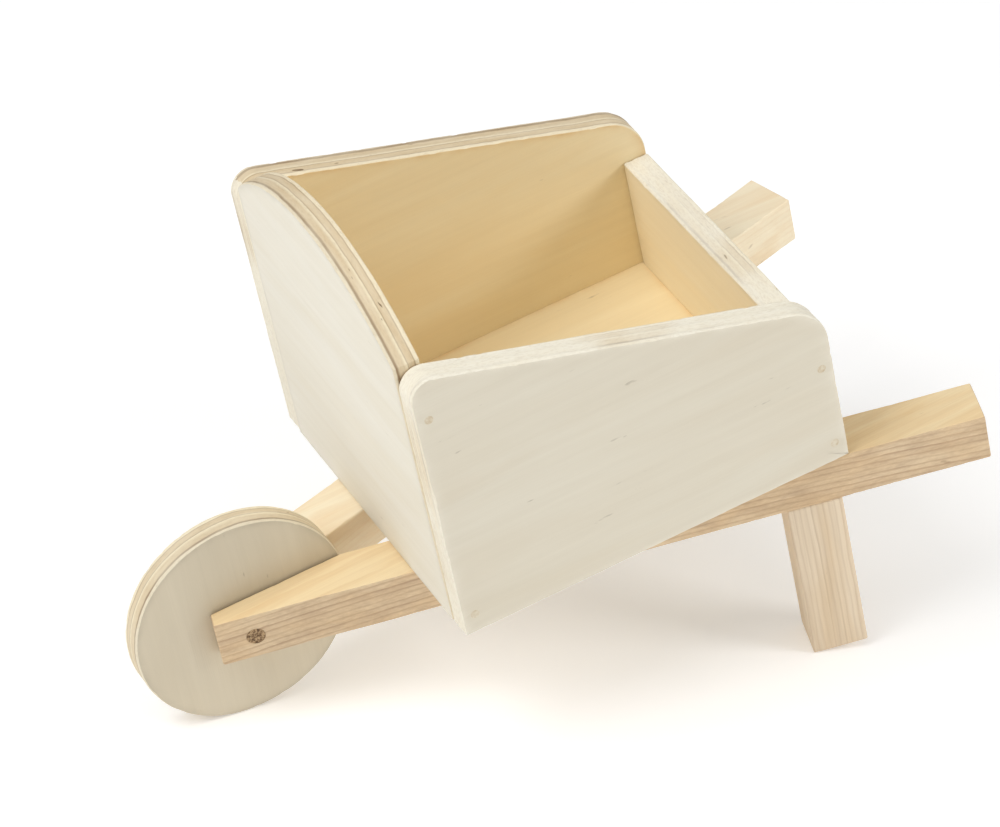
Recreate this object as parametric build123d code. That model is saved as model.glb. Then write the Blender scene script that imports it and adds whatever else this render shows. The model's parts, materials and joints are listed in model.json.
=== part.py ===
"""Small wooden wheelbarrow: a plywood tray on two toed-in rails, two legs and a plywood wheel.

Everything is drawn in the tray's own frame, where z = 0 is the rails' top faces, +X runs
forward to the wheel and +Y to the left. At the end the whole barrow is pitched nose down, so
that the wheel and the front corners of both feet stand on z = 0.
"""
import os
from math import asin, atan2, cos, degrees, hypot, sin, tan

from build123d import *

# ---- driving dimensions, millimetres and degrees ----

ply = 6.2                     # plywood of the tray walls and the wheel
floor_ply = 3.2               # thinner plywood of the tray floor
edge_round = 0.5              # sanded arris on every wooden piece

tray_width = 90.0             # outside, over both side panels
tray_length = 94.5            # outside, along the bottom
side_front_height = 71.7      # side panel, before its corner is rounded
side_rear_height = 41.0
side_front_round = 5.0        # rounded top corners of the side panels
side_rear_round = 11.0
crest_height = 85.8           # middle of the front panel's arched top
shoulder_height = 70.6        # ends of that arch, at the side panels
rear_panel_height = 32.0

rail_width = 12.7
rail_height = 11.6
cheek = 6.4                   # rail left at the axle, between the wheel gap and its outer face
handle_length = 29.5          # rail behind the tray, measured along X
nose_length = 8.2             # rail in front of the axle, measured along X
leg_length = 42.4             # leg below the rail's underside
leg_setback = 9.2             # leg's middle in front of the tray's rear, along X

wheel_diameter = 50.8
axle_reach = 35.1             # axle in front of the tray
axle_diameter = 4.0
axle_clearance = 0.05         # radial running clearance of the wheel on its axle
wheel_gap = 0.4               # between the wheel and each rail's planed inner face

leg_dowel_diameter = 4.0
leg_dowel_in_rail = 7.5
leg_dowel_in_leg = 12.0
pin_diameter = 1.2
pin_head_diameter = 2.0
pin_head_height = 0.8
pin_length = 16.0
pin_edge_distance = 5.0       # lower pins, above the tray's bottom edge
pin_top_distance = 12.0       # upper front pins, below the side panel's front corner
rear_pin_top_distance = 6.0   # upper rear pins, below the rear panel's top

# ---- places that follow from them ----

half_width = tray_width / 2
tray_front = tray_length / 2
tray_rear = -tray_length / 2
axle_x = tray_front + axle_reach
axle_z = -rail_height / 2
wheel_radius = wheel_diameter / 2
planed_y = ply / 2 + wheel_gap          # planed inner faces of the rails, either side of the wheel
leg_x = tray_rear + leg_setback
toe = atan2(half_width - planed_y - cheek, axle_x - tray_rear)   # angle of each rail to the centre line
along_rail = Vector(cos(toe), -sin(toe), 0)
out_of_rail = Vector(sin(toe), cos(toe), 0)


def rail_outer_point(x):
    """Point at x on the left rail's outer top edge, which meets the tray's rear corner."""
    return Vector(x, half_width - (x - tray_rear) * tan(toe), 0)


def eased(solid):
    """The piece with all its arrises sanded round."""
    return fillet(solid.edges(), edge_round)


def rod(start, direction, diameter, length):
    """Round bar from a start point along a direction."""
    return extrude(Plane(origin=start, z_dir=direction) * Circle(diameter / 2), amount=length)


# ---- tray panels ----

def side_panel():
    """Left side panel: square front and bottom, top sloping down to the rear, rounded corners."""
    corners = [
        (tray_front, 0),
        (tray_front, side_front_height),
        (tray_rear, side_rear_height),
        (tray_rear, 0),
    ]
    outline = make_face(Polyline(*corners, close=True))
    top_front = outline.vertices().sort_by(Axis.Y)[-1]
    outline = fillet(top_front, side_front_round)
    top_rear = outline.vertices().group_by(Axis.X)[0].sort_by(Axis.Y)[-1]
    outline = fillet(top_rear, side_rear_round)
    outer_face = Plane(origin=(0, half_width, 0), x_dir=(1, 0, 0), z_dir=(0, -1, 0))
    return eased(extrude(outer_face * outline, amount=ply))


def front_panel():
    """Front panel between the sides, with an arched top that rises above them."""
    inner = half_width - ply
    edges = [
        Line((inner, shoulder_height), (inner, 0)),
        Line((inner, 0), (-inner, 0)),
        Line((-inner, 0), (-inner, shoulder_height)),
        ThreePointArc((-inner, shoulder_height), (0, crest_height), (inner, shoulder_height)),
    ]
    back = Plane(origin=(tray_front - ply, 0, 0), x_dir=(0, 1, 0), z_dir=(1, 0, 0))
    return eased(extrude(back * make_face(edges), amount=ply))


def rear_panel():
    """Low rear panel between the sides, flush with their rear edges."""
    place = Pos(tray_rear + ply / 2, 0, rear_panel_height / 2)
    return eased(place * Box(ply, tray_width - 2 * ply, rear_panel_height))


def floor_panel():
    """Thin floor let in between the four walls, lying on the rails."""
    size = (tray_length - 2 * ply, tray_width - 2 * ply, floor_ply)
    return Pos(0, 0, floor_ply / 2) * Box(*size)


# ---- rails, legs, wheel ----

def rail():
    """Left rail: handle at the rear, inner face planed parallel to the wheel at the front."""
    front = rail_outer_point(axle_x + nose_length)
    rear = rail_outer_point(tray_rear - handle_length)
    nose = front - out_of_rail * ((front.Y - planed_y) / cos(toe))
    kink_x = tray_rear + (half_width - rail_width / cos(toe) - planed_y) / tan(toe)
    plan = [front, rear, rear - out_of_rail * rail_width, Vector(kink_x, planed_y, 0), nose]
    outline = make_face(Polyline(*plan, close=True))
    return eased(extrude(outline, amount=rail_height, dir=(0, 0, -1)))


def leg_centre(z):
    """Middle of the left leg's section at height z: its outer face is flush with the rail's."""
    middle = rail_outer_point(leg_x) - out_of_rail * (rail_height / 2)
    return Vector(middle.X, middle.Y, z)


def leg():
    """Left leg: the rail's stock turned a quarter, butted square under the rail."""
    place = Location(leg_centre(-rail_height - leg_length / 2), (0, 0, -degrees(toe)))
    return eased(place * Box(rail_width, rail_height, leg_length))


def leg_dowel():
    """Hidden dowel that ties the left leg to its rail."""
    start = leg_centre(-rail_height - leg_dowel_in_leg)
    return rod(start, (0, 0, 1), leg_dowel_diameter, leg_dowel_in_leg + leg_dowel_in_rail)


def wheel_disc():
    """Solid disc sawn from the same plywood as the tray, bored to run on the axle."""
    side = Vector(axle_x, -ply / 2, axle_z)
    disc = eased(rod(side, (0, 1, 0), wheel_diameter, ply))
    return disc - rod(side, (0, 1, 0), axle_diameter + 2 * axle_clearance, ply)


def axle_bar():
    """Dowel through both rails, longer than it ends up."""
    reach = 2 * half_width
    return rod((axle_x, -reach / 2, axle_z), (0, 1, 0), axle_diameter, reach)


def axle():
    """Axle dowel, its ends trimmed flush with the slanting outer faces of the rails."""
    front = rail_outer_point(axle_x + nose_length)
    rear = rail_outer_point(axle_x - nose_length)
    plan = [front, rear, Vector(rear.X, -rear.Y, 0), Vector(front.X, -front.Y, 0)]
    between = extrude(make_face(Polyline(*plan, close=True)), amount=rail_height, dir=(0, 0, -1))
    return axle_bar() & between


# ---- pins ----

def pins(x, heights):
    """Panel pins through the left side panel into the wall behind it, heads flush."""
    pieces = []
    for z in heights:
        head = rod((x, half_width, z), (0, -1, 0), pin_head_diameter, pin_head_height)
        pieces.append(head + rod((x, half_width, z), (0, -1, 0), pin_diameter, pin_length))
    return pieces


# ---- assembly, in the tray's frame ----

front_pins = pins(tray_front - ply / 2, [pin_edge_distance, side_front_height - pin_top_distance])
rear_pins = pins(tray_rear + ply / 2, [pin_edge_distance, rear_panel_height - rear_pin_top_distance])
dowel = leg_dowel()

left = {
    "side_panel": [side_panel() - front_pins - rear_pins],
    "rail": [rail() - dowel - axle_bar()],
    "leg": [leg() - dowel],
    "leg_dowel": [dowel],
    "front_pins": front_pins,
    "rear_pins": rear_pins,
}
nodes = {}
for name, pieces in left.items():
    nodes["left_" + name] = pieces
    nodes["right_" + name] = [mirror(piece, about=Plane.XZ) for piece in pieces]
nodes["front_panel"] = [front_panel() - nodes["left_front_pins"] - nodes["right_front_pins"]]
nodes["rear_panel"] = [rear_panel() - nodes["left_rear_pins"] - nodes["right_rear_pins"]]
nodes["floor_panel"] = [floor_panel()]
nodes["wheel"] = [wheel_disc()]
nodes["axle_dowel"] = [axle()]

# ---- standing: nose down until wheel and feet share the ground ----

foot = leg_centre(-rail_height - leg_length) + along_rail * rail_width / 2 + out_of_rail * rail_height / 2
span_x = axle_x - foot.X
span_z = axle_z - foot.Z
pitch = degrees(atan2(span_z, span_x) - asin(wheel_radius / hypot(span_x, span_z)))
pitched = {name: [Rot(0, pitch, 0) * piece for piece in pieces] for name, pieces in nodes.items()}
whole = Compound(children=[piece for pieces in pitched.values() for piece in pieces]).bounding_box()
stand = Pos(-(whole.min.X + whole.max.X) / 2, 0, -whole.min.Z)
print("pitch", round(pitch, 4), "shift", stand.position, "size", whole.size)

os.makedirs("parts", exist_ok=True)
for name, pieces in pitched.items():
    placed = [stand * piece for piece in pieces]
    solids = [solid for piece in placed for solid in piece.solids()]
    export_step(solids[0] if len(solids) == 1 else Compound(solids), "parts/" + name + ".step")
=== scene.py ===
# %% [markdown]
# # A small wooden wheelbarrow
# The real thing is sawn from two kinds of timber: thin plywood for the open tray and the wheel,
# and pine for the rails and legs. The engineering model already gives every piece its place
# and size. This lesson rebuilds each board, finely divided, inside its outline, and gives
# every piece the finish that bare, hand-sanded wood has.

# %% Load the frame
import json
from math import asin, ceil, cos, degrees, pi, radians, sin

import bmesh
import bpy
from mathutils import Matrix, Vector, noise


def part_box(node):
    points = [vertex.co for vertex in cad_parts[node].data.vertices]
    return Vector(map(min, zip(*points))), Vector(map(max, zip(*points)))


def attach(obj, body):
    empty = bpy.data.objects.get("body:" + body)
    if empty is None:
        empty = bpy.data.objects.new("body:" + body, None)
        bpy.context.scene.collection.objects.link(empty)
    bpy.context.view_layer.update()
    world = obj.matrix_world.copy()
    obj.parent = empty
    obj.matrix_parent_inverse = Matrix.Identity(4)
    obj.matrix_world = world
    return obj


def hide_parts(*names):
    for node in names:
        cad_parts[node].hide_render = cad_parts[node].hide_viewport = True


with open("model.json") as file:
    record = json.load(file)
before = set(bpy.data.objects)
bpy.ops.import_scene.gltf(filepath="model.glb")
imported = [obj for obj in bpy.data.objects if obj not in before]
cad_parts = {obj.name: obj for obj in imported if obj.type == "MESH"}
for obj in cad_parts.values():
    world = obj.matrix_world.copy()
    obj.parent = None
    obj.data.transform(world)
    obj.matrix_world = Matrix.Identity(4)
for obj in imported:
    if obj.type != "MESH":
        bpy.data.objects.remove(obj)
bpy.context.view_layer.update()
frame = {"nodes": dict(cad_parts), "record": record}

MM = 0.001

# %% [markdown]
# ## Two ways of looking at the barrow
# The barrow stands nose down, because its wheel is smaller than its legs are long. Every panel
# is square to the tray, though, so it is easier to think in the tray's own directions. The tray
# floor is a mount in the record, and its upright direction tells how far the tray is pitched.

# %% The tray's own directions
floor_mount = next(m for m in frame["record"]["mounts"] if m["name"] == "tray_floor")
pitch = asin(floor_mount["axis"][0])
tray_to_world = Matrix.Rotation(pitch, 3, "Y")
world_to_tray = tray_to_world.transposed()
print("tray pitched nose down by", round(degrees(pitch), 2), "degrees")


def tray_points(node):
    """The corners of a CAD piece, seen in the tray's directions."""
    return [world_to_tray @ v.co for v in frame["nodes"][node].data.vertices]


# %% [markdown]
# ## Camera
# A small object like this is usually shown from a little above and from one front corner, so
# that the arched front, the inside of the tray and one rail are all in view. A wide lens close
# by would bend it; a long lens from over a metre away keeps its edges nearly parallel.

# %% Camera
camera_azimuth = radians(63.43)
camera_elevation = radians(35.29)
camera_distance = 1.263
camera_aim = Vector((0.0020, -0.0033, 0.0553))
camera_lens = 207.8


def from_angles(azimuth, elevation):
    """Unit vector towards an azimuth (0 is +X, 90 degrees is +Y) and an elevation."""
    return Vector((cos(azimuth) * cos(elevation), sin(azimuth) * cos(elevation), sin(elevation)))


def look_at(obj, place, target):
    """Put a camera or lamp at a place and turn it to a target."""
    obj.location = place
    obj.rotation_euler = (target - place).to_track_quat("-Z", "Y").to_euler()


camera = bpy.data.objects.new("camera", bpy.data.cameras.new("camera"))
bpy.context.scene.collection.objects.link(camera)
camera.data.lens = camera_lens
camera.data.clip_end = 20
camera_place = camera_aim + from_angles(camera_azimuth, camera_elevation) * camera_distance
look_at(camera, camera_place, camera_aim)
bpy.context.scene.camera = camera
bpy.context.scene.view_settings.view_transform = "Standard"
print("camera at", [round(c, 3) for c in camera.location])

# %% [markdown]
# ## Lamps and room light
# Pale wood needs soft light, or its faces turn into flat white. Three broad lamps do the work:
# one high over the tray, one ahead of the barrow, and a smaller, lower one behind its left
# side. The last makes the rear wall throw a soft slanting shade on the right wall inside the
# tray. A pale room fills in the rest. Giving each lamp by direction, size and brightness,
# instead of watts and a place, makes it easy to balance one against another.

# %% Lamps and room light
lamp_distance = 1.2
lamp_target = Vector((0, 0, 0.06))
room_brightness = 0.40


def lamp(name, azimuth, elevation, size, level):
    """Square lamp; level is the brightness it gives a white card that faces it."""
    data = bpy.data.lights.new(name, "AREA")
    data.size = size
    data.energy = level * pi * pi * lamp_distance ** 2
    obj = bpy.data.objects.new(name, data)
    bpy.context.scene.collection.objects.link(obj)
    direction = from_angles(radians(azimuth), radians(elevation))
    look_at(obj, lamp_target + direction * lamp_distance, lamp_target)
    print(name, "gives", round(data.energy, 1), "W")


lamp("front_lamp", 6, 48, 0.7, 0.40)
lamp("rear_left_lamp", 138, 27, 0.42, 0.30)
lamp("top_lamp", 10, 70, 1.0, 0.27)
room = bpy.data.worlds.new("room")
bpy.context.scene.world = room
room.use_nodes = True
room.node_tree.nodes["Background"].inputs["Color"].default_value = (1, 1, 1, 1)
room.node_tree.nodes["Background"].inputs["Strength"].default_value = room_brightness

# %% [markdown]
# ## Floor
# The barrow stands on plain white paper. The paper glows very slightly, which a real studio
# does with a lamp under a translucent table: it lifts the paper to white and keeps the
# shadows pale without flattening the barrow.

# %% Floor
floor_half = 3.0
floor_corners = [(x * floor_half, y * floor_half, 0) for x, y in ((-1, -1), (1, -1), (1, 1), (-1, 1))]
floor_mesh = bpy.data.meshes.new("floor")
floor_mesh.from_pydata(floor_corners, [], [(0, 1, 2, 3)])
floor = bpy.data.objects.new("floor", floor_mesh)
bpy.context.scene.collection.objects.link(floor)
paper = bpy.data.materials.new("white_paper")
paper.use_nodes = True
paper_shader = paper.node_tree.nodes["Principled BSDF"]
paper_shader.inputs["Base Color"].default_value = (0.94, 0.94, 0.94, 1)
paper_shader.inputs["Roughness"].default_value = 0.9
paper_shader.inputs["Emission Color"].default_value = (1, 1, 1, 1)
paper_shader.inputs["Emission Strength"].default_value = 0.20
floor_mesh.materials.append(paper)
print("floor", 2 * floor_half, "m across")

# %% [markdown]
# ## Colours
# Colours are easiest to choose as the display values from 0 to 255 that a paint program shows.
# Shaders work in scene-linear light instead, where twice the number is twice the light, so
# each colour is converted once, here.


# %% Colours
def linear(red, green, blue):
    """Scene-linear colour from 0-255 display values."""
    return tuple(((c / 255 + 0.055) / 1.055) ** 2.4 for c in (red, green, blue)) + (1,)


def dimmed(colour, share):
    """A colour at a share of its brightness."""
    return tuple(c * share for c in colour[:3]) + (1,)


print("display value 128 is", round(linear(128, 128, 128)[0], 3), "in scene-linear light")

# %% [markdown]
# ## Chains of nodes
# Every finish below is a chain of nodes. Each chain on a board starts from the board
# coordinates: a vector stored on every point that runs along the grain, across it and through
# the thickness, in metres. The figure then follows the board, however the board is turned.
# Nodes are made by a small class, because a material written as calls can be read in order.


# %% Chains of nodes
class Chain:
    """Adds nodes to a tree and links them, in the order in which a chain is worked out."""

    def __init__(self, tree):
        self.tree = tree

    def add(self, kind, inputs=None, **settings):
        """New node; its inputs are set to plain values or linked to other sockets."""
        node = self.tree.nodes.new("ShaderNode" + kind)
        for key, value in settings.items():
            setattr(node, key, value)
        for socket, value in (inputs or {}).items():
            self.feed(value, node.inputs[socket])
        return node

    def feed(self, value, socket):
        """Link a socket to an input, or set the input to a plain value."""
        if isinstance(value, bpy.types.NodeSocket):
            self.tree.links.new(value, socket)
        else:
            socket.default_value = value

    def stored(self, attribute, output="Vector"):
        """What the mesh stores on its points under a name."""
        return self.add("Attribute", attribute_name=attribute).outputs[output]

    def math(self, operation, a, b=0.0):
        """One sum, product or other operation on two values."""
        return self.add("Math", {0: a, 1: b}, operation=operation).outputs[0]

    def scaled(self, vector, scale):
        """A vector with each of its three numbers multiplied."""
        return self.add("VectorMath", {0: vector, 1: scale}, operation="MULTIPLY").outputs[0]

    def noise(self, vector, detail, rough=0.5, scale=1.0):
        """Noise between 0 and 1, with about one blob for each unit of the scaled vector."""
        inputs = {"Vector": vector, "Scale": scale, "Detail": detail, "Roughness": rough}
        return self.add("TexNoise", inputs).outputs["Fac"]

    def range(self, value, low, high, to_low=0.0, to_high=1.0, smooth=False):
        """Value carried from low..high to to_low..to_high, and held at the ends."""
        inputs = {"Value": value, "From Min": low, "From Max": high, "To Min": to_low, "To Max": to_high}
        kind = "SMOOTHSTEP" if smooth else "LINEAR"
        return self.add("MapRange", inputs, interpolation_type=kind, clamp=True).outputs["Result"]

    def mix(self, share, first, second):
        """Colour from first (share 0) to second (share 1)."""
        node = self.add("Mix", {0: share, 6: first, 7: second}, data_type="RGBA")
        return node.outputs[2]

    def ramp(self, fac, stops):
        """Colour ramp from (position, colour) stops."""
        node = self.add("ValToRGB", {"Fac": fac})
        while len(node.color_ramp.elements) < len(stops):
            node.color_ramp.elements.new(0.5)
        for element, (position, colour) in zip(node.color_ramp.elements, stops):
            element.position = position
            element.color = colour
        return node.outputs["Color"]


print("a chain can use", [name for name in vars(Chain) if not name.startswith("_")])

# %% [markdown]
# ## Node groups
# Fibres, growth rings and plies turn up in many finishes, so each is built once as a group
# with named inputs and outputs, and placed in each material with that material's own values.


# %% Node groups
def node_group(name, inputs, outputs):
    """Empty shader group with named inputs and outputs: (name, kind, default)."""
    tree = bpy.data.node_groups.new(name, "ShaderNodeTree")
    for label, kind, default in inputs:
        socket = tree.interface.new_socket(label, in_out="INPUT", socket_type="NodeSocket" + kind)
        if default is not None:
            socket.default_value = default
    for label, kind in outputs:
        tree.interface.new_socket(label, in_out="OUTPUT", socket_type="NodeSocket" + kind)
    print("new group", name)
    return tree, Chain(tree), tree.nodes.new("NodeGroupInput"), tree.nodes.new("NodeGroupOutput")


# %% [markdown]
# ## Group 1: fibres
# Bare sanded wood never has one flat colour. Long soft clouds run with the grain, hair-thin
# fibres run through them, and here and there a short dark fleck marks a pore or a small dent.
# All three are noise stretched along the grain, which is the first board coordinate. The three
# numbers in a bracket say how fine the noise is, per metre: along, across and through.

# %% Fibre group
fibre_tree, chain, group_in, group_out = node_group(
    "wood_fibres",
    [("Board", "Vector", None), ("Cloud Size", "Float", 12.0), ("Flecks", "Float", 0.5)],
    [("Clouds", "Float"), ("Fibres", "Float"), ("Flecks", "Float"), ("Height", "Float")])
board = group_in.outputs["Board"]
stretched = chain.scaled(board, (0.16, 1.0, 1.0))
cloud_vector = chain.add("VectorMath", {0: stretched, "Scale": group_in.outputs["Cloud Size"]},
                         operation="SCALE").outputs[0]
cloud_inputs = {"Vector": cloud_vector, "Scale": 9.0, "Detail": 4.0, "Roughness": 0.55, "Distortion": 0.6}
clouds = chain.add("TexNoise", cloud_inputs).outputs["Fac"]
fine_hairs = chain.noise(chain.scaled(board, (60.0, 2600.0, 2600.0)), 3.0, 0.6)
soft_hairs = chain.noise(chain.scaled(board, (18.0, 520.0, 520.0)), 2.0)
fine_share = chain.math("MULTIPLY", fine_hairs, 0.45)
soft_share = chain.math("MULTIPLY", soft_hairs, 0.55)
fibres = chain.math("ADD", fine_share, soft_share)
fleck_noise = chain.noise(chain.scaled(board, (170.0, 700.0, 700.0)), 2.0)
fleck_patch = chain.noise(chain.scaled(board, (45.0, 60.0, 60.0)), 1.0)
noise_share = chain.math("MULTIPLY", fleck_noise, 0.75)
patch_share = chain.math("MULTIPLY", fleck_patch, 0.25)
fleck_sum = chain.math("ADD", noise_share, patch_share)
flecks = chain.math("MULTIPLY", chain.range(fleck_sum, 0.70, 0.76), group_in.outputs["Flecks"])
height = chain.math("SUBTRACT", fibres, chain.math("MULTIPLY", flecks, 0.8))
for label, socket in (("Clouds", clouds), ("Fibres", fibres), ("Flecks", flecks), ("Height", height)):
    fibre_tree.links.new(socket, group_out.inputs[label])
print("group", fibre_tree.name, "with", len(fibre_tree.nodes), "nodes")

# %% [markdown]
# ## Group 2: growth rings
# Pine shows one line for each year. The lines are shells around the tree's middle, so the
# group measures the distance from that line, lets it wander a little, and cuts it into years.
# Each year is pale for its first half, darkens, and ends in a thin dark line. On a quartered
# face this gives straight stripes, on a flat face long flames, and on an end arcs.

# %% Growth ring group
ring_tree, chain, group_in, group_out = node_group(
    "growth_rings",
    [("Board", "Vector", None), ("Heart", "Vector", (0, 0, 0)), ("Year Width", "Float", 0.0017),
     ("Wander", "Float", 0.0012)],
    [("Late Wood", "Float"), ("Tone", "Float")])
board = group_in.outputs["Board"]
wander_noise = chain.noise(chain.scaled(board, (11.0, 45.0, 45.0)), 3.0)
ripple_noise = chain.noise(chain.scaled(board, (70.0, 420.0, 420.0)), 2.0)
wander = chain.math("MULTIPLY", chain.math("SUBTRACT", wander_noise, 0.5), group_in.outputs["Wander"])
ripple = chain.math("MULTIPLY", chain.math("SUBTRACT", ripple_noise, 0.5), 0.0007)
heart_inputs = {0: board, 1: group_in.outputs["Heart"]}
from_heart = chain.add("VectorMath", heart_inputs, operation="SUBTRACT").outputs[0]
parts = chain.add("SeparateXYZ", {0: from_heart})
across_squared = chain.math("POWER", parts.outputs["Y"], 2.0)
depth_squared = chain.math("POWER", parts.outputs["Z"], 2.0)
radius = chain.math("SQRT", chain.math("ADD", across_squared, depth_squared))
wandering = chain.math("ADD", chain.math("ADD", radius, wander), ripple)
years = chain.math("DIVIDE", wandering, group_in.outputs["Year Width"])
season = chain.math("FRACT", years)
rising = chain.range(season, 0.52, 0.88, smooth=True)
falling = chain.range(season, 0.94, 1.0, 1.0, 0.0)
line = chain.math("MULTIPLY", rising, falling)
year_number = chain.math("FLOOR", years)
year_tone = chain.add("TexWhiteNoise", {"W": year_number}, noise_dimensions="1D").outputs["Value"]
strength = chain.range(year_tone, 0.0, 1.0, 0.45, 1.0)
ring_tree.links.new(chain.math("MULTIPLY", line, strength), group_out.inputs["Late Wood"])
ring_tree.links.new(year_tone, group_out.inputs["Tone"])
print("group", ring_tree.name, "with", len(ring_tree.nodes), "nodes")

# %% [markdown]
# ## Group 3: plies
# A sawn edge of plywood shows its layers: pale veneers with the grain running along, darker
# end-grain veneers between them, thin glue lines, and small voids where a core veneer tore.
# The depth through the board picks the layer on a colour ramp, which is easy to read from one
# face to the other, and noise makes the joints wander.

# %% Ply group
ply_tree, chain, group_in, group_out = node_group(
    "plies",
    [("Board", "Vector", None), ("Thickness", "Float", 0.0062), ("Contrast", "Float", 1.0),
     ("Even", "Color", (0.8, 0.75, 0.65, 1))],
    [("Color", "Color"), ("Void", "Float"), ("Height", "Float")])
board = group_in.outputs["Board"]
parts = chain.add("SeparateXYZ", {0: board})
depth = chain.math("DIVIDE", parts.outputs["Z"], group_in.outputs["Thickness"])
joint_wander = chain.noise(chain.scaled(board, (130.0, 130.0, 60.0)), 3.0, 0.55)
depth = chain.math("ADD", depth, chain.math("MULTIPLY", chain.math("SUBTRACT", joint_wander, 0.5), 0.10))
face_ply = linear(229, 217, 191)
glue_line = linear(172, 148, 116)
dark_gap = linear(146, 120, 90)
cross_ply = linear(214, 193, 157)
cream_ply = linear(240, 227, 196)
layers = chain.ramp(depth, [
    (0.00, cream_ply), (0.14, cream_ply), (0.17, glue_line), (0.21, cross_ply), (0.40, cross_ply),
    (0.43, glue_line), (0.47, cream_ply), (0.58, cross_ply), (0.76, cross_ply),
    (0.82, dark_gap), (0.87, dark_gap), (0.91, face_ply), (1.0, face_ply)])
layers = chain.mix(group_in.outputs["Contrast"], group_in.outputs["Even"], layers)
pores = chain.noise(chain.scaled(board, (900.0, 900.0, 2600.0)), 2.0, 0.55)
blotches = chain.noise(chain.scaled(board, (95.0, 95.0, 700.0)), 3.0, 0.55)
darker = chain.mix(chain.range(pores, 0.45, 0.72, 0.0, 0.20), layers, linear(172, 148, 112))
patchy = chain.mix(chain.range(blotches, 0.35, 0.75, 0.0, 0.40), darker, linear(240, 230, 206))
core = chain.math("MULTIPLY", chain.range(depth, 0.17, 0.21), chain.range(depth, 0.76, 0.80, 1.0, 0.0))
void_noise = chain.noise(chain.scaled(board, (240.0, 240.0, 900.0)), 1.0, 0.4)
voids = chain.math("MULTIPLY", chain.range(void_noise, 0.74, 0.78), core)
voids = chain.math("MULTIPLY", voids, group_in.outputs["Contrast"])
colour = chain.mix(voids, patchy, linear(112, 86, 56))
relief = chain.math("SUBTRACT", chain.math("MULTIPLY", pores, -0.6), voids)
for label, socket in (("Color", colour), ("Void", voids), ("Height", relief)):
    ply_tree.links.new(socket, group_out.inputs[label])
print("group", ply_tree.name, "with", len(ply_tree.nodes), "nodes")

# %% [markdown]
# ## Finishes
# Now the finishes themselves. Each one places the groups with its own values and feeds them to
# one Principled BSDF. Bare wood is rough and hardly shines, so roughness stays high. The bump
# is about a tenth of a millimetre deep at most, which only shows where light grazes the wood.


# %% Helper that starts a finish
def finish_base(name, roughness, specular=0.35):
    """New material with a chain for its nodes, and its shader."""
    material = bpy.data.materials.new(name)
    material.use_nodes = True
    shader = material.node_tree.nodes["Principled BSDF"]
    shader.inputs["Roughness"].default_value = roughness
    shader.inputs["Specular IOR Level"].default_value = specular
    print("finish", name)
    return material, Chain(material.node_tree), shader


def place_group(chain, tree, **values):
    """Put a node group in a material; values name its inputs, with spaces as underscores."""
    node = chain.add("Group", node_tree=tree)
    for key, value in values.items():
        chain.feed(value, node.inputs[key.replace("_", " ")])
    return node


def bump(chain, shader, height, distance):
    """Feed a height to the shader as bump of that depth, in metres."""
    node = chain.add("Bump", {"Strength": 1.0, "Distance": distance, "Height": height})
    chain.tree.links.new(node.outputs["Normal"], shader.inputs["Normal"])


print("the groups to place are", fibre_tree.name, "and", ring_tree.name, "and", ply_tree.name)


# %% [markdown]
# ### Plywood faces
# The face veneer is cut from a smooth, pale wood, a pale greyish cream outside. Inside the tray
# a paler, warmer copy is painted light: it stands in for the light and warm bounce in the tray.
# The outer face of the arched front and the inner face of the rear wall get still paler copies,
# painted light for the lamps that face them. Near an arris the colour changes: it is paler on the
# outer faces of the sides, and a little darker on the other faces. A mask stored on the mesh is 1
# at the rim of each face and fades a few millimetres in, so the tint follows every edge without
# being painted by hand.


# %% Veneer finishes
def veneer(name, light, dark, flecks=0.5, rim_tint=None):
    """Face veneer between two colours, with fibres, flecks and a tinted rim."""
    material, chain, shader = finish_base(name, 0.62)
    board = chain.stored("board")
    fibre = place_group(chain, fibre_tree, Board=board, Cloud_Size=9.0, Flecks=flecks)
    clouds = chain.range(fibre.outputs["Clouds"], 0.30, 0.72)
    body = chain.mix(clouds, light, dark)
    hair = chain.range(fibre.outputs["Fibres"], 0.35, 0.65, 0.0, 0.22)
    body = chain.mix(hair, body, dimmed(dark, 0.86))
    rim = chain.stored("rim", "Fac")
    rim_noise = chain.noise(chain.scaled(board, (140.0, 140.0, 140.0)), 3.0, 0.6)
    rim_patches = chain.range(rim_noise, 0.3, 0.7, 0.1, 0.75)
    rim_mask = chain.math("MULTIPLY", chain.math("POWER", rim, 3.0), rim_patches)
    body = chain.mix(rim_mask, body, rim_tint or dimmed(dark, 0.78))
    body = chain.mix(fibre.outputs["Flecks"], body, linear(120, 104, 84))
    chain.tree.links.new(body, shader.inputs["Base Color"])
    rough = chain.range(fibre.outputs["Clouds"], 0.3, 0.7, 0.56, 0.70)
    chain.tree.links.new(rough, shader.inputs["Roughness"])
    bump(chain, shader, fibre.outputs["Height"], 0.00006)
    return material


outside_veneer = veneer("outside_veneer", linear(224, 217, 199), linear(219, 209, 188),
                        rim_tint=linear(234, 227, 210))
# Paler copy of the outside veneer: painted light on the front panel's outer face.
front_painted_light_veneer = veneer("front_painted_light_veneer", linear(236, 231, 217), linear(232, 225, 207), flecks=0.3)
# Paler, warmer copy: painted light and bounce colour inside the tray.
inside_painted_light_veneer = veneer("inside_painted_light_veneer", linear(245, 229, 190), linear(240, 219, 174), flecks=0.35,
                       rim_tint=linear(222, 184, 126))
# Palest copy: painted light on the rear wall's inner face, which the front lamp lights.
rear_painted_light_veneer = veneer("rear_inside_veneer", linear(251, 241, 216), linear(248, 234, 202), flecks=0.3)
wheel_veneer = veneer("wheel_veneer", linear(218, 207, 184), linear(211, 199, 175), flecks=0.6)

# %% [markdown]
# ### Plywood edges
# Where plywood is sawn, its layers show. On the arched front, the right side and the wheel
# they are easy to see. The left side and the rear wall were sanded with glue and dust, which
# fills the layers until only patches of them are left. One finish does both: a contrast value
# fades the layers into one even colour, and a slow noise brings them back in patches.


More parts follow.
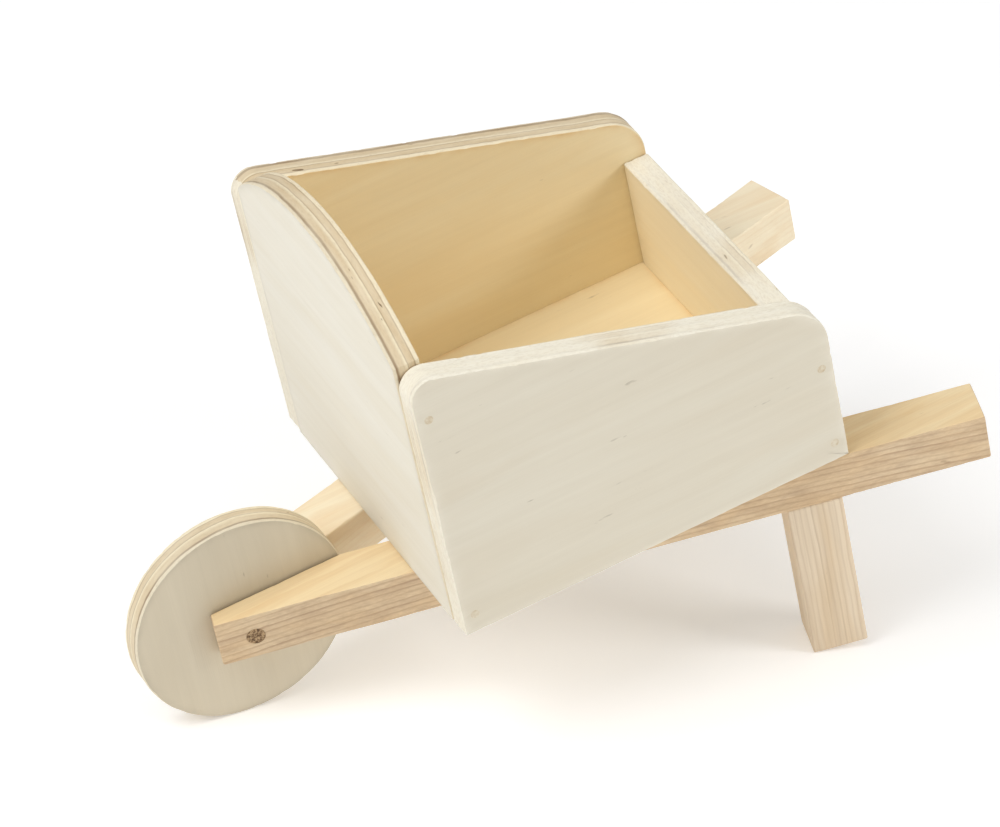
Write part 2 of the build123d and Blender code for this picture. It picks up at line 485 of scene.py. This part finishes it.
# %% Ply edge finishes
def ply_edge(name, contrast, even):
    """Sawn plywood edge; contrast says how clearly its layers show over the even colour."""
    material, chain, shader = finish_base(name, 0.75, 0.2)
    board = chain.stored("board")
    worn = chain.noise(chain.scaled(board, (38.0, 38.0, 38.0)), 2.0)
    shown = chain.range(worn, 0.52, 0.66, contrast, 0.5 + contrast / 2)
    plies = place_group(chain, ply_tree, Board=board, Contrast=shown, Even=even)
    chain.tree.links.new(plies.outputs["Color"], shader.inputs["Base Color"])
    rough = chain.range(plies.outputs["Void"], 0.0, 1.0, 0.72, 0.9)
    chain.tree.links.new(rough, shader.inputs["Roughness"])
    bump(chain, shader, plies.outputs["Height"], 0.00009)
    return material


open_edge = ply_edge("open_ply_edge", 0.85, linear(222, 204, 172))
sanded_edge = ply_edge("sanded_ply_edge", 0.07, linear(242, 237, 221))
wheel_edge = ply_edge("wheel_ply_edge", 0.80, linear(242, 234, 214))

# %% [markdown]
# ### Pine
# Rails and legs are ripped from pine. The right rail gets a paler copy of the planed finish,
# painted light for the stronger light on that rail. Pale, yellow early wood fills most of each
# year and the late wood draws thin pinkish lines. The tree's middle lay far below the rails, so
# their sides are striped along the length, while their tops are calm. The tops were planed; the
# outer sides kept the rougher, pinker surface that the saw left. One function makes all four
# finishes from two colours, a heart line and a few numbers.


# %% Pine finishes
def pine(name, early, late, heart, wander, lines, streak, year_width=0.00145, roughness=0.55):
    """Pine with growth rings round a heart line; lines says how strongly late wood shows."""
    material, chain, shader = finish_base(name, roughness)
    board = chain.stored("board")
    rings = place_group(chain, ring_tree, Board=board, Heart=heart, Year_Width=year_width, Wander=wander)
    fibre = place_group(chain, fibre_tree, Board=board, Cloud_Size=16.0, Flecks=0.3)
    body = chain.mix(chain.range(rings.outputs["Tone"], 0.0, 1.0, 0.0, 0.25 * lines), early, late)
    body = chain.mix(chain.math("MULTIPLY", rings.outputs["Late Wood"], lines), body, late)
    body = chain.mix(chain.range(fibre.outputs["Clouds"], 0.42, 0.68, 0.0, 0.5), body, streak)
    hair = chain.range(fibre.outputs["Fibres"], 0.38, 0.66, 0.0, 0.08 + 0.42 * lines)
    body = chain.mix(hair, body, dimmed(late, 0.8))
    body = chain.mix(fibre.outputs["Flecks"], body, linear(130, 96, 64))
    chain.tree.links.new(body, shader.inputs["Base Color"])
    rough = chain.range(rings.outputs["Late Wood"], 0.0, 1.0, roughness, 0.48)
    chain.tree.links.new(rough, shader.inputs["Roughness"])
    ridges = chain.math("MULTIPLY", rings.outputs["Late Wood"], 0.5)
    bump(chain, shader, chain.math("ADD", ridges, fibre.outputs["Height"]), 0.00007)
    return material


heart_below = (0, 0.002, -0.075)
heart_behind_leg = (0, 0.004, -0.05)
planed_pine = pine("planed_pine", linear(243, 222, 180), linear(220, 180, 126), heart_below, 0.0010, 0.40,
                   linear(228, 186, 126))
# Paler copy of the planed finish: painted light on the right rail.
pale_painted_light_pine = pine("pale_painted_light_pine", linear(250, 237, 208), linear(236, 208, 168), heart_below, 0.0010, 0.25,
                 linear(236, 204, 158))
sawn_pine = pine("sawn_pine", linear(226, 202, 166), linear(176, 142, 112), heart_below, 0.0007, 0.75,
                 linear(218, 184, 138), roughness=0.66)
leg_pine = pine("leg_pine", linear(233, 215, 188), linear(182, 154, 124), heart_behind_leg, 0.0018, 0.38,
                linear(222, 194, 154), year_width=0.00118, roughness=0.62)

# %% [markdown]
# ### Dowels
# The axle's sawn end is end grain that drank in glue and dirt, so it is a dark, speckled disc.
# A cell pattern makes the open pores and noise makes the grit between them. The dowels keep
# their CAD meshes, which store no board coordinates, so this finish uses object coordinates.

# %% Dowel finish
dowel_wood, chain, shader = finish_base("dowel_wood", 0.8, 0.5)
place = chain.add("TexCoord").outputs["Object"]
pore_cells = chain.add("TexVoronoi", {"Vector": place, "Scale": 2300.0}).outputs["Distance"]
grit = chain.noise(place, 3.0, 0.6, scale=1300.0)
pore_share = chain.math("MULTIPLY", pore_cells, 0.35)
grit_share = chain.math("MULTIPLY", grit, 0.8)
end_grain = chain.math("ADD", pore_share, grit_share)
dark_pore = linear(62, 44, 28)
brown_grain = linear(112, 84, 56)
pale_grain = linear(188, 158, 118)
dowel_colour = chain.ramp(end_grain, [(0.30, dark_pore), (0.50, brown_grain), (0.72, pale_grain)])
chain.tree.links.new(dowel_colour, shader.inputs["Base Color"])
bump(chain, shader, end_grain, 0.00012)

# %% [markdown]
# ### Pins
# The panel pins are sunk and filled over with a filler close to the veneer's colour, so all
# that is left to see of each is a small tan smudge. Bright steel would be wrong here: it would
# be the first thing that anyone looks at.

# %% Pin finish
filled_pin, chain, shader = finish_base("filled_pin_head", 0.8, 0.5)
place = chain.add("TexCoord").outputs["Object"]
filler = chain.noise(place, 3.0, 0.6, scale=900.0)
filler_colour = chain.ramp(filler, [(0.40, linear(222, 212, 190)), (0.72, linear(200, 180, 146))])
chain.tree.links.new(filler_colour, shader.inputs["Base Color"])
bump(chain, shader, filler, 0.00008)

# %% [markdown]
# ## From a CAD piece to a hand-sawn board
# A box with sharp edges would give the barrow away as a drawing. A bevel on the CAD piece would
# soften it, but evenly, like plastic. So each board is built again inside its CAD outline. The
# outline is the piece's silhouette seen through its thickness, which is enough because no
# piece of this barrow has a hollow outline, and it is divided finely for the saw's wobble.

# %% Silhouette and its fine division
edge_step = 0.75 * MM
shortest_edge = 0.05 * MM
metre_digits = 6
least_turn = 1e-12


def silhouette(points):
    """Convex outline of 2-D points, anticlockwise."""
    ordered = sorted({(round(x, metre_digits), round(y, metre_digits)) for x, y in points})

    def half(sequence):
        corners = []
        for point in sequence:
            while len(corners) > 1:
                (ax, ay), (bx, by) = corners[-2:]
                if (bx - ax) * (point[1] - ay) - (by - ay) * (point[0] - ax) > least_turn:
                    break
                corners.pop()
            corners.append(point)
        return corners[:-1]

    return [Vector(p) for p in half(ordered) + half(ordered[::-1])]


def divided(outline):
    """The outline with points no further apart than edge_step, and their inward directions."""
    points = []
    for start, end in zip(outline, outline[1:] + outline[:1]):
        if (end - start).length < shortest_edge:
            continue
        pieces = max(1, ceil((end - start).length / edge_step))
        points += [start.lerp(end, k / pieces) for k in range(pieces)]
    inward = []
    for before, after in zip(points[-1:] + points[:-1], points[1:] + points[:1]):
        tangent = (after - before).normalized()
        inward.append(Vector((-tangent.y, tangent.x)))
    return points, inward


wheel_outline = silhouette([(p.z, p.x) for p in tray_points("wheel")])
print("wheel outline:", len(wheel_outline), "corners,", len(divided(wheel_outline)[0]), "points")

# %% [markdown]
# ## What saw and sandpaper do to an edge
# Rows of points run round the sawn edge, from one face over the arris, down the edge and over
# the other arris. Each row may only move inwards, so the board never outgrows its CAD piece:
# by the sanded round of the arris, by a slow wobble of the saw, by the hair's breadth that the
# softer plies shrink back, and by small chips broken out of the arris. The noise comes from
# the place and a seed, so the same board comes out every time. The scales say how fine each
# noise is, per metre.

# %% Rows and insets of a sawn edge
arris_steps = 4
row_gap = 0.3 * MM
wobble_scale = 55
rough_scale = 420
sanding_scale = 90
chip_scale = 430
chip_threshold = 0.28
plywood_style = {"arris": 0.65 * MM, "wobble": 0.22 * MM, "rough": 0.07 * MM, "relief": 0.09 * MM,
                 "chip": 0.8 * MM, "rim": 3.0 * MM}
pine_style = {"arris": 0.55 * MM, "wobble": 0.16 * MM, "rough": 0.03 * MM, "relief": 0.0,
              "chip": 0.4 * MM, "rim": 2.0 * MM}


def board_rows(thickness, arris):
    """(depth, inset, sawn) for each row round the edge: sawn is 0 on the face and 1 on the edge."""
    rows = []
    for k in range(arris_steps + 1):
        turn = k / arris_steps * pi / 2
        rows.append((arris * (1 - cos(turn)), arris * (1 - sin(turn)), sin(turn)))
    middle = max(1, round((thickness - 2 * arris) / row_gap))
    span = (thickness - 2 * arris) / middle
    between = [(arris + span * k, 0.0, 1.0) for k in range(1, middle)]
    return rows + between + [(thickness - depth, inset, sawn) for depth, inset, sawn in reversed(rows)]


def noise_at(point, scale, layer):
    """Smooth noise between about -1 and 1 at a point of the outline; scale is per metre."""
    return noise.noise(Vector((point.x * scale, point.y * scale, layer)))


def ply_relief(share):
    """How far a ply shrinks back, from 0 to 1, by its share of the thickness."""
    bands = ((0.15, 0.0), (0.36, 1.0), (0.60, 0.25), (0.80, 1.0), (1.01, 0.0))
    return next(depth for limit, depth in bands if share < limit)


def saw_inset(point, share, style, seed):
    """Inward wander of a sawn edge at a point of the outline and a share of the thickness."""
    slow = noise_at(point, wobble_scale, seed) * 0.5 + 0.5
    fine = noise_at(point, rough_scale, seed + share * 2) * 0.5 + 0.5
    relief = ply_relief(share) * style["relief"] * (0.4 + 1.2 * fine)
    return slow * style["wobble"] + fine * style["rough"] + relief


def sanding(point, seed):
    """How far the sandpaper rounded the arris here, as a share of its usual round."""
    return 0.75 + 0.5 * noise_at(point, sanding_scale, seed + 7)


def chip_inset(point, seed, size):
    """Small chips broken out of an arris here and there."""
    return max(0.0, noise_at(point, chip_scale, seed * 3.1) - chip_threshold) * size


print("edge of a 6.2 mm board has", len(board_rows(6.2 * MM, plywood_style["arris"])), "rows")

# %% [markdown]
# ## The board builder
# With rows and insets worked out, a board is a skin of four-sided faces between the rows, and
# one flat face at each end. An extra ring of points a little way inside each face gives the
# rim mask a place to fade out. Each board knows three finishes: low face, sawn edge and high
# face. bmesh is used because it makes the skin exactly as planned, face by face.


# %% The board builder
widest_rim = 0.6


def skin_faces(mesh, rings):
    """Faces between the rings, with material 0 on the low face, 1 on the edge, 2 on the high face."""
    mesh.faces.new(reversed(rings[0])).material_index = 0
    mesh.faces.new(rings[-1]).material_index = 2
    last_strip = len(rings) - 2
    for strip, (lower, upper) in enumerate(zip(rings, rings[1:])):
        material = 0 if strip < 2 else 2 if strip > last_strip - 2 else 1
        for a, b, c, d in zip(lower, lower[1:] + lower[:1], upper[1:] + upper[:1], upper):
            mesh.faces.new((a, b, c, d)).material_index = material


def build_board(name, node, axes, style, seed, finishes):
    """Board that keeps inside a CAD piece. axes: grain, across and thickness, in tray directions."""
    grain, across, through = (Vector(axis).normalized() for axis in axes)
    local = [Vector((p.dot(grain), p.dot(across), p.dot(through))) for p in tray_points(node)]
    low = min(p.z for p in local)
    thickness = max(p.z for p in local) - low
    points, inward = divided(silhouette([(p.x, p.y) for p in local]))
    middle = sum(points, Vector((0, 0))) / len(points)
    nearest_edge = min((p - middle).length for p in points)
    rim_share = min(widest_rim, style["rim"] / nearest_edge)
    mesh = bmesh.new()
    rim_mask = []

    def add_point(flat, depth, mask):
        place = grain * flat.x + across * flat.y + through * (low + depth)
        rim_mask.append(mask)
        return mesh.verts.new(tray_to_world @ place)

    def ring(depth, inset, sawn):
        share = depth / thickness
        placed = []
        for point, side in zip(points, inward):
            saw = saw_inset(point, share, style, seed) * (0.35 + 0.65 * sawn)
            shift = inset * sanding(point, seed) + saw
            if 0 < sawn < 1:
                shift += chip_inset(point, seed + share, style["chip"])
            placed.append(add_point(point + side * shift, depth, 1.0))
        return placed

    def inner_ring(depth):
        return [add_point(p.lerp(middle, rim_share), depth, 0.0) for p in points]

    rings = [inner_ring(0.0)]
    rings += [ring(*row) for row in board_rows(thickness, style["arris"])]
    rings.append(inner_ring(thickness))
    skin_faces(mesh, rings)
    data = bpy.data.meshes.new(name)
    mesh.to_mesh(data)
    mesh.free()
    data.attributes.new("rim", "FLOAT", "POINT").data.foreach_set("value", rim_mask)
    for material in finishes:
        data.materials.append(material)
    obj = bpy.data.objects.new(name, data)
    bpy.context.scene.collection.objects.link(obj)
    return obj


print("on plywood the rim mask fades over", plywood_style["rim"] / MM, "mm or more")

# %% [markdown]
# ## Holes
# The pins show in the side panels, the axle shows in the rails, and the wheel turns on it, so
# those holes are real. What is buried inside a joint can't be seen, and gets no hole. A Boolean
# cuts each hole with a round cutter, and the result is kept as the board's mesh at once, so
# nothing depends on the cutter later. The exact solver is slower, but it leaves clean edges.

# %% Drill a hole
hole_sides = 64


def drill(obj, start, end, radius):
    """Bore a round hole from start to end, in the row frame."""
    direction = end - start
    cutter_mesh = bmesh.new()
    bmesh.ops.create_cone(cutter_mesh, cap_ends=True, segments=hole_sides, radius1=radius, radius2=radius,
                          depth=direction.length)
    turn = direction.to_track_quat("Z", "Y").to_matrix().to_4x4()
    cutter_mesh.transform(Matrix.Translation((start + end) / 2) @ turn)
    data = bpy.data.meshes.new("cutter")
    cutter_mesh.to_mesh(data)
    cutter_mesh.free()
    cutter = bpy.data.objects.new("cutter", data)
    bpy.context.scene.collection.objects.link(cutter)
    cut = obj.modifiers.new("bore", "BOOLEAN")
    cut.operation = "DIFFERENCE"
    cut.solver = "EXACT"
    cut.object = cutter
    bpy.context.view_layer.update()
    result = bpy.data.meshes.new_from_object(obj.evaluated_get(bpy.context.evaluated_depsgraph_get()))
    obj.modifiers.clear()
    obj.data = result
    bpy.data.objects.remove(cutter)
    print(obj.name, "bored", round(2 * radius / MM, 2), "mm wide")


# %% [markdown]
# ## Grain, shading and place
# Three things finish every board. Its board coordinates are written on every point, after the
# holes, so the points round a hole have them too. Smooth shading is limited to gentle angles,
# and weighted normals keep the large faces flat while the arrises still roll over softly.
# Last, the board is tied to the CAD body it moves with, and the CAD piece it stands for is hidden.

# %% Grain, shading and place
smooth_angle = radians(38)
largest_weight = 100
seed_spacing = 0.37
facing_enough = 0.6


def write_board_coordinates(obj, axes, seed):
    """Store grain, across (0 in the middle) and thickness (0 at the low face) on every point."""
    axes = [Vector(axis).normalized() for axis in axes]
    places = [world_to_tray @ vertex.co for vertex in obj.data.vertices]
    across = [place.dot(axes[1]) for place in places]
    lowest = min(place.dot(axes[2]) for place in places)
    shift = (seed * seed_spacing, -(min(across) + max(across)) / 2, -lowest)
    values = []
    for place in places:
        values += [place.dot(axis) + offset for axis, offset in zip(axes, shift)]
    obj.data.attributes.new("board", "FLOAT_VECTOR", "POINT").data.foreach_set("vector", values)


def repaint(obj, direction, material):
    """Give the sawn faces that look in a direction (tray directions) another finish."""
    facing = tray_to_world @ Vector(direction)
    obj.data.materials.append(material)
    newest = len(obj.data.materials) - 1
    for face in obj.data.polygons:
        if face.material_index == 1 and face.normal.dot(facing) > facing_enough:
            face.material_index = newest


def finish_board(obj, node, body, axes, seed):
    """Last steps for a board: grain, shading and body; the CAD piece it stands for is hidden."""
    write_board_coordinates(obj, axes, seed)
    obj.data.shade_smooth()
    obj.data.set_sharp_from_angle(angle=smooth_angle)
    weights = obj.modifiers.new("even_faces", "WEIGHTED_NORMAL")
    weights.keep_sharp = True
    weights.weight = largest_weight
    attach(obj, body)
    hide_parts(node)
    print(obj.name, "has", len(obj.data.vertices), "points")


print("edges sharper than", round(degrees(smooth_angle)), "degrees stay sharp")

# %% [markdown]
# ## Where the pins are
# Pins hold the side panels to the ends of the front and rear panels. Each CAD node holds two
# of them, and its own points tell where they are: the outermost points are the two heads, and
# the widest gap in height separates one head from the other.

# %% Pins from the CAD piece
on_head = 0.01 * MM


def pin_centres(side):
    """Middle of each pin head in a side panel, in the row frame."""
    centres = []
    for end in ("front", "rear"):
        places = [v.co for v in frame["nodes"][side + "_" + end + "_pins"].data.vertices]
        outermost = max(abs(p.y) for p in places)
        heads = [p for p in places if abs(abs(p.y) - outermost) < on_head]
        heads.sort(key=lambda p: p.z)
        split = max(range(1, len(heads)), key=lambda k: heads[k].z - heads[k - 1].z)
        for head in (heads[:split], heads[split:]):
            lowest = Vector(min(p[i] for p in head) for i in range(3))
            highest = Vector(max(p[i] for p in head) for i in range(3))
            centres.append((lowest + highest) / 2)
    return centres


print("pins in the left side at", [[round(c / MM, 1) for c in centre] for centre in pin_centres("left")])

# %% [markdown]
# ## Side panels
# Two plywood sides stand outside the other panels, with two rounded top corners. Their
# thickness is counted from the inside out, which makes the inner face the low one on both, so
# both take their finishes in the same order. The left side's edges were sanded, and so were
# the front edges of both. The pins' holes are bored right through.

# %% Side panels
X_AXIS = (1, 0, 0)
Y_AXIS = (0, 1, 0)
Z_AXIS = (0, 0, 1)
pin_hole = 1.01 * MM
pin_hole_outside = 1 * MM
pin_hole_inside = 9 * MM
for side, sign, seed in (("left", 1, 3), ("right", -1, 11)):
    node = side + "_side_panel"
    edge = sanded_edge if side == "left" else open_edge
    panel_axes = (X_AXIS, (0, 0, -sign), (0, sign, 0))
    panel = build_board(side + "_tray_side", node, panel_axes, plywood_style, seed,
                        [inside_painted_light_veneer, edge, outside_veneer])
    outward = Vector((0, sign, 0))
    for centre in pin_centres(side):
        drill(panel, centre - outward * pin_hole_inside, centre + outward * pin_hole_outside, pin_hole)
    repaint(panel, X_AXIS, sanded_edge)
    finish_board(panel, node, "frame", panel_axes, seed)

# %% [markdown]
# ## Front and rear panels
# The front panel carries the arch that gives the barrow its look, and its layered edge shows
# best of all. The rear panel is low and level, and its edge was sanded. The grain of both runs
# across the barrow, so they share one list of directions.

# %% Front and rear panels
end_axes = (Y_AXIS, Z_AXIS, X_AXIS)
front_seed = 19
rear_seed = 23
front = build_board("arched_tray_front", "front_panel", end_axes, plywood_style, front_seed,
                    [inside_painted_light_veneer, open_edge, front_painted_light_veneer])
finish_board(front, "front_panel", "frame", end_axes, front_seed)
rear = build_board("tray_rear", "rear_panel", end_axes, plywood_style, rear_seed,
                   [outside_veneer, sanded_edge, rear_painted_light_veneer])
finish_board(rear, "rear_panel", "frame", end_axes, rear_seed)

# %% [markdown]
# ## Floor panel
# The floor is thinner and let in between the other panels. All its edges are hidden in joints,
# so it has no wobble, relief or chips, and only the smallest round on its arrises.

# %% Floor panel
floor_axes = (X_AXIS, Y_AXIS, Z_AXIS)
floor_seed = 29
fitted_style = dict.fromkeys(plywood_style, 0.0)
fitted_style["arris"] = 0.15 * MM
fitted_style["rim"] = plywood_style["rim"]
tray_floor = build_board("tray_floor", "floor_panel", floor_axes, fitted_style, floor_seed,
                         [outside_veneer, open_edge, inside_painted_light_veneer])
finish_board(tray_floor, "floor_panel", "frame", floor_axes, floor_seed)

# %% [markdown]
# ## Rails
# A rail is handle, chassis and wheel fork in one. The rails toe in towards the wheel, and
# their noses are planed flat beside it. They are outlined from above, where that shape shows.
# The grain is laid nearly straight along the barrow, so it slants through the toed-in rails,
# as in short stock that is sawn without regard to the grain. The outer side and the ends kept
# the saw's surface; the side that faces the other rail was planed. The axle's hole starts in
# the gap beside the wheel and runs out through the rail.

# %% Rails
axle_low, axle_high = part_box("axle_dowel")
axle_middle = (axle_low + axle_high) / 2
axle_hole = 2.04 * MM
axle_hole_start = 1 * MM
axle_hole_end = 20 * MM
grain_angle = radians(1.12564)


def pine_axes(sign):
    """Grain, across and upright directions of the pine on the left (1) or right (-1) side."""
    along = Vector((cos(grain_angle), sign * sin(grain_angle), 0))
    return along, Vector(Z_AXIS).cross(along), Vector(Z_AXIS)


# The right rail takes the paler copy of the planed finish, painted light.
for side, sign, seed, planed in (("left", 1, 5, planed_pine), ("right", -1, 13, pale_painted_light_pine)):
    rail_axes = pine_axes(sign)
    rail = build_board(side + "_handle_rail", side + "_rail", rail_axes, pine_style, seed,
                       [planed, sawn_pine, planed])
    outward = Vector((0, sign, 0))
    drill(rail, axle_middle + outward * axle_hole_start, axle_middle + outward * axle_hole_end, axle_hole)
    repaint(rail, rail_axes[1] * -sign, planed)
    finish_board(rail, side + "_rail", "frame", rail_axes, seed)

# %% [markdown]
# ## Legs
# A leg is a short square piece of pine, butted under its rail on a hidden dowel. It is outlined
# from above like the rail, but its grain stands upright. So it is built with one list of
# directions, and its board coordinates are written with another.

# %% Legs
for side, sign, seed in (("left", 1, 7), ("right", -1, 15)):
    along, across, upright = pine_axes(sign)
    leg = build_board(side + "_foot_leg", side + "_leg", (along, across, upright), pine_style, seed,
                      [leg_pine] * 3)
    finish_board(leg, side + "_leg", "frame", (upright, across, along), seed)

# %% [markdown]
# ## Wheel
# The wheel is a disc sawn from the tray's plywood, a little greyer on its faces, with its
# layers open on the rim. It is a board like the others, bored to turn freely on the axle, and
# the only piece that rides on another body.

# %% Wheel
wheel_axes = (Z_AXIS, X_AXIS, Y_AXIS)
wheel_seed = 31
wheel_bore = 2.06 * MM
half_bore = Vector((0, 5 * MM, 0))
wheel = build_board("plywood_wheel", "wheel", wheel_axes, plywood_style, wheel_seed,
                    [wheel_veneer, wheel_edge, wheel_veneer])
drill(wheel, axle_middle - half_bore, axle_middle + half_bore, wheel_bore)
finish_board(wheel, "wheel", "wheel", wheel_axes, wheel_seed)

# %% [markdown]
# ## Dowels and pins
# Dowels and pins keep their CAD shapes, because a sawn dowel end and a small flat head are
# already right. They only get their finishes.

# %% Dowels and pins
dowels = ["axle_dowel", "left_leg_dowel", "right_leg_dowel"]
pins = [side + "_" + end + "_pins" for side in ("left", "right") for end in ("front", "rear")]
for node in dowels + pins:
    materials = frame["nodes"][node].data.materials
    materials.clear()
    materials.append(dowel_wood if node in dowels else filled_pin)
print(len(dowels), "dowels and", len(pins), "pairs of pins")

# %% [markdown]
